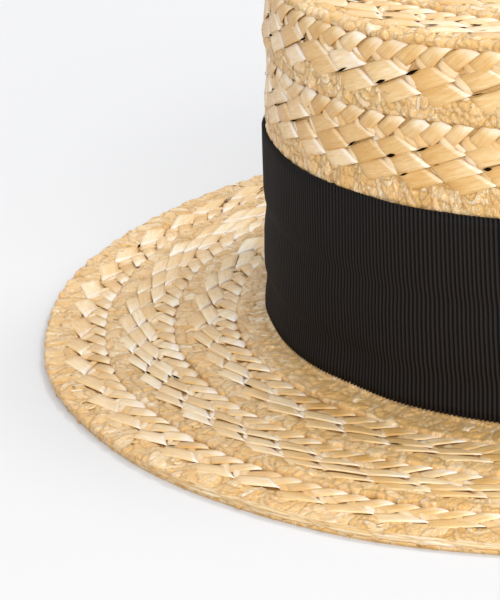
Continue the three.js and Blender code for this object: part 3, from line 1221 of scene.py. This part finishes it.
def make_ribbon():
    """Grosgrain: fine upright ribs, an edge that follows them, and a face that sinks below each row."""
    low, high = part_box("ribbon")
    bottom, top = low.z / MM, high.z / MM
    half = HALF_WIDTH - (bottom + top) / 2 * math.tan(SIDE_LEAN) + RIBBON_LEVEL
    turn = np.linspace(0, FULL_TURN, 2 * ARC_POINTS - 1)
    arc = lengths(*oval(turn, half))
    ribs = round(arc[-1] / RIB_PITCH)
    rib = np.arange(ribs * RIB_POINTS) / RIB_POINTS
    at = np.interp(rib / ribs * arc[-1], arc, turn)
    heights = np.linspace(0, 1, RIBBON_LINES)
    z = bottom + heights[None, :] * (top - bottom)
    sway = RIB_SWAY * np.sin(z / SWAY_LENGTH + wander(at, *RIBBON_WAVES["sway"])[:, None])
    sway = sway + wander(at, *RIBBON_WAVES["fine_sway"])[:, None]
    at = at[:, None] + sway * (RIB_SWAY / half)
    wave = np.cos(FULL_TURN * rib)[:, None]
    near_edge = np.abs(2 * heights - 1) ** SCALLOP_POWER * np.sign(heights - 0.5)
    scalloped = z + SCALLOP * wave * near_edge[None, :]
    x = HALF_WIDTH - z * math.tan(SIDE_LEAN) + ribbon_lift(at, z, wave)
    outer = np.stack([*oval(at, x), scalloped], -1)
    inner = np.stack([*oval(at, x - RIBBON_THICKNESS), scalloped], -1)
    points = np.concatenate([inner[:, :1], outer, inner[:, -1:]], 1) * MM

    shape = points.shape[:2]
    along = np.broadcast_to((rib * RIB_PITCH)[:, None], shape)
    up = np.broadcast_to(np.concatenate([z[:, :1] - HEM, z, z[:, -1:] + HEM], 1), shape)
    # Painted light and shade across each rib, pale on its crest
    rib_light_and_shade = np.broadcast_to(0.5 + 0.5 * wave, shape)
    grain = np.stack([along, up, up * 0], -1)
    tone = np.stack([rib_light_and_shade, rib_light_and_shade * 0, rib_light_and_shade * 0], -1)
    sheets = Sheets()
    sheets.add(points[None], grain[None], tone[None], wrap=True)
    add_piece("grosgrain_ribbon", sheets.mesh("ribbon"), [ribbon_material()], ["ribbon"])


def make_floor():
    mesh = bpy.data.meshes.new("floor")
    signs = ((-1, -1), (1, -1), (1, 1), (-1, 1))
    corners = [(x * FLOOR_SIZE, y * FLOOR_SIZE, 0) for x, y in signs]
    mesh.from_pydata(corners, [], [(0, 1, 2, 3)])
    mesh.materials.append(floor_material())
    floor = bpy.data.objects.new("floor", mesh)
    bpy.context.scene.collection.objects.link(floor)


def make_camera():
    a, e = CAMERA_AZIMUTH, CAMERA_ELEVATION
    back = Vector((math.sin(a) * math.cos(e), -math.cos(a) * math.cos(e), math.sin(e)))
    right = Vector((0, 0, 1)).cross(back).normalized()
    up = back.cross(right)
    right, up = (
        right * math.cos(CAMERA_ROLL) + up * math.sin(CAMERA_ROLL),
        up * math.cos(CAMERA_ROLL) - right * math.sin(CAMERA_ROLL),
    )
    data = bpy.data.cameras.new("camera")
    data.lens = CAMERA_LENS
    camera = bpy.data.objects.new("camera", data)
    turned = Matrix((right, up, back)).transposed().to_4x4()
    camera.matrix_world = Matrix.Translation(CAMERA_PLACE) @ turned
    bpy.context.scene.collection.objects.link(camera)
    bpy.context.scene.camera = camera


def add_light(name, place, size, power):
    data = bpy.data.lights.new(name, "AREA")
    data.shape = "RECTANGLE"
    data.size, data.size_y = size
    data.energy = power
    data.color = LIGHT_COLOUR
    light = bpy.data.objects.new(name, data)
    light.location = place
    light.rotation_mode = "QUATERNION"
    light.rotation_quaternion = (Vector(LIGHT_TARGET) - Vector(place)).to_track_quat("-Z", "Y")
    bpy.context.scene.collection.objects.link(light)


def make_lights():
    world = bpy.data.worlds.new("studio")
    world.use_nodes = True
    background = world.node_tree.nodes["Background"]
    socket(background, "Color", WORLD_COLOUR)
    socket(background, "Strength", WORLD_STRENGTH)
    bpy.context.scene.world = world
    for light in LIGHTS:
        add_light(*light)
    bpy.context.scene.view_settings.view_transform = "Standard"


make_camera()
make_lights()
make_floor()
STRAW = [straw_material(), gap_shadow_material()]
for plait_row in make_rows():
    make_row(plait_row, STRAW)
make_ribbon()
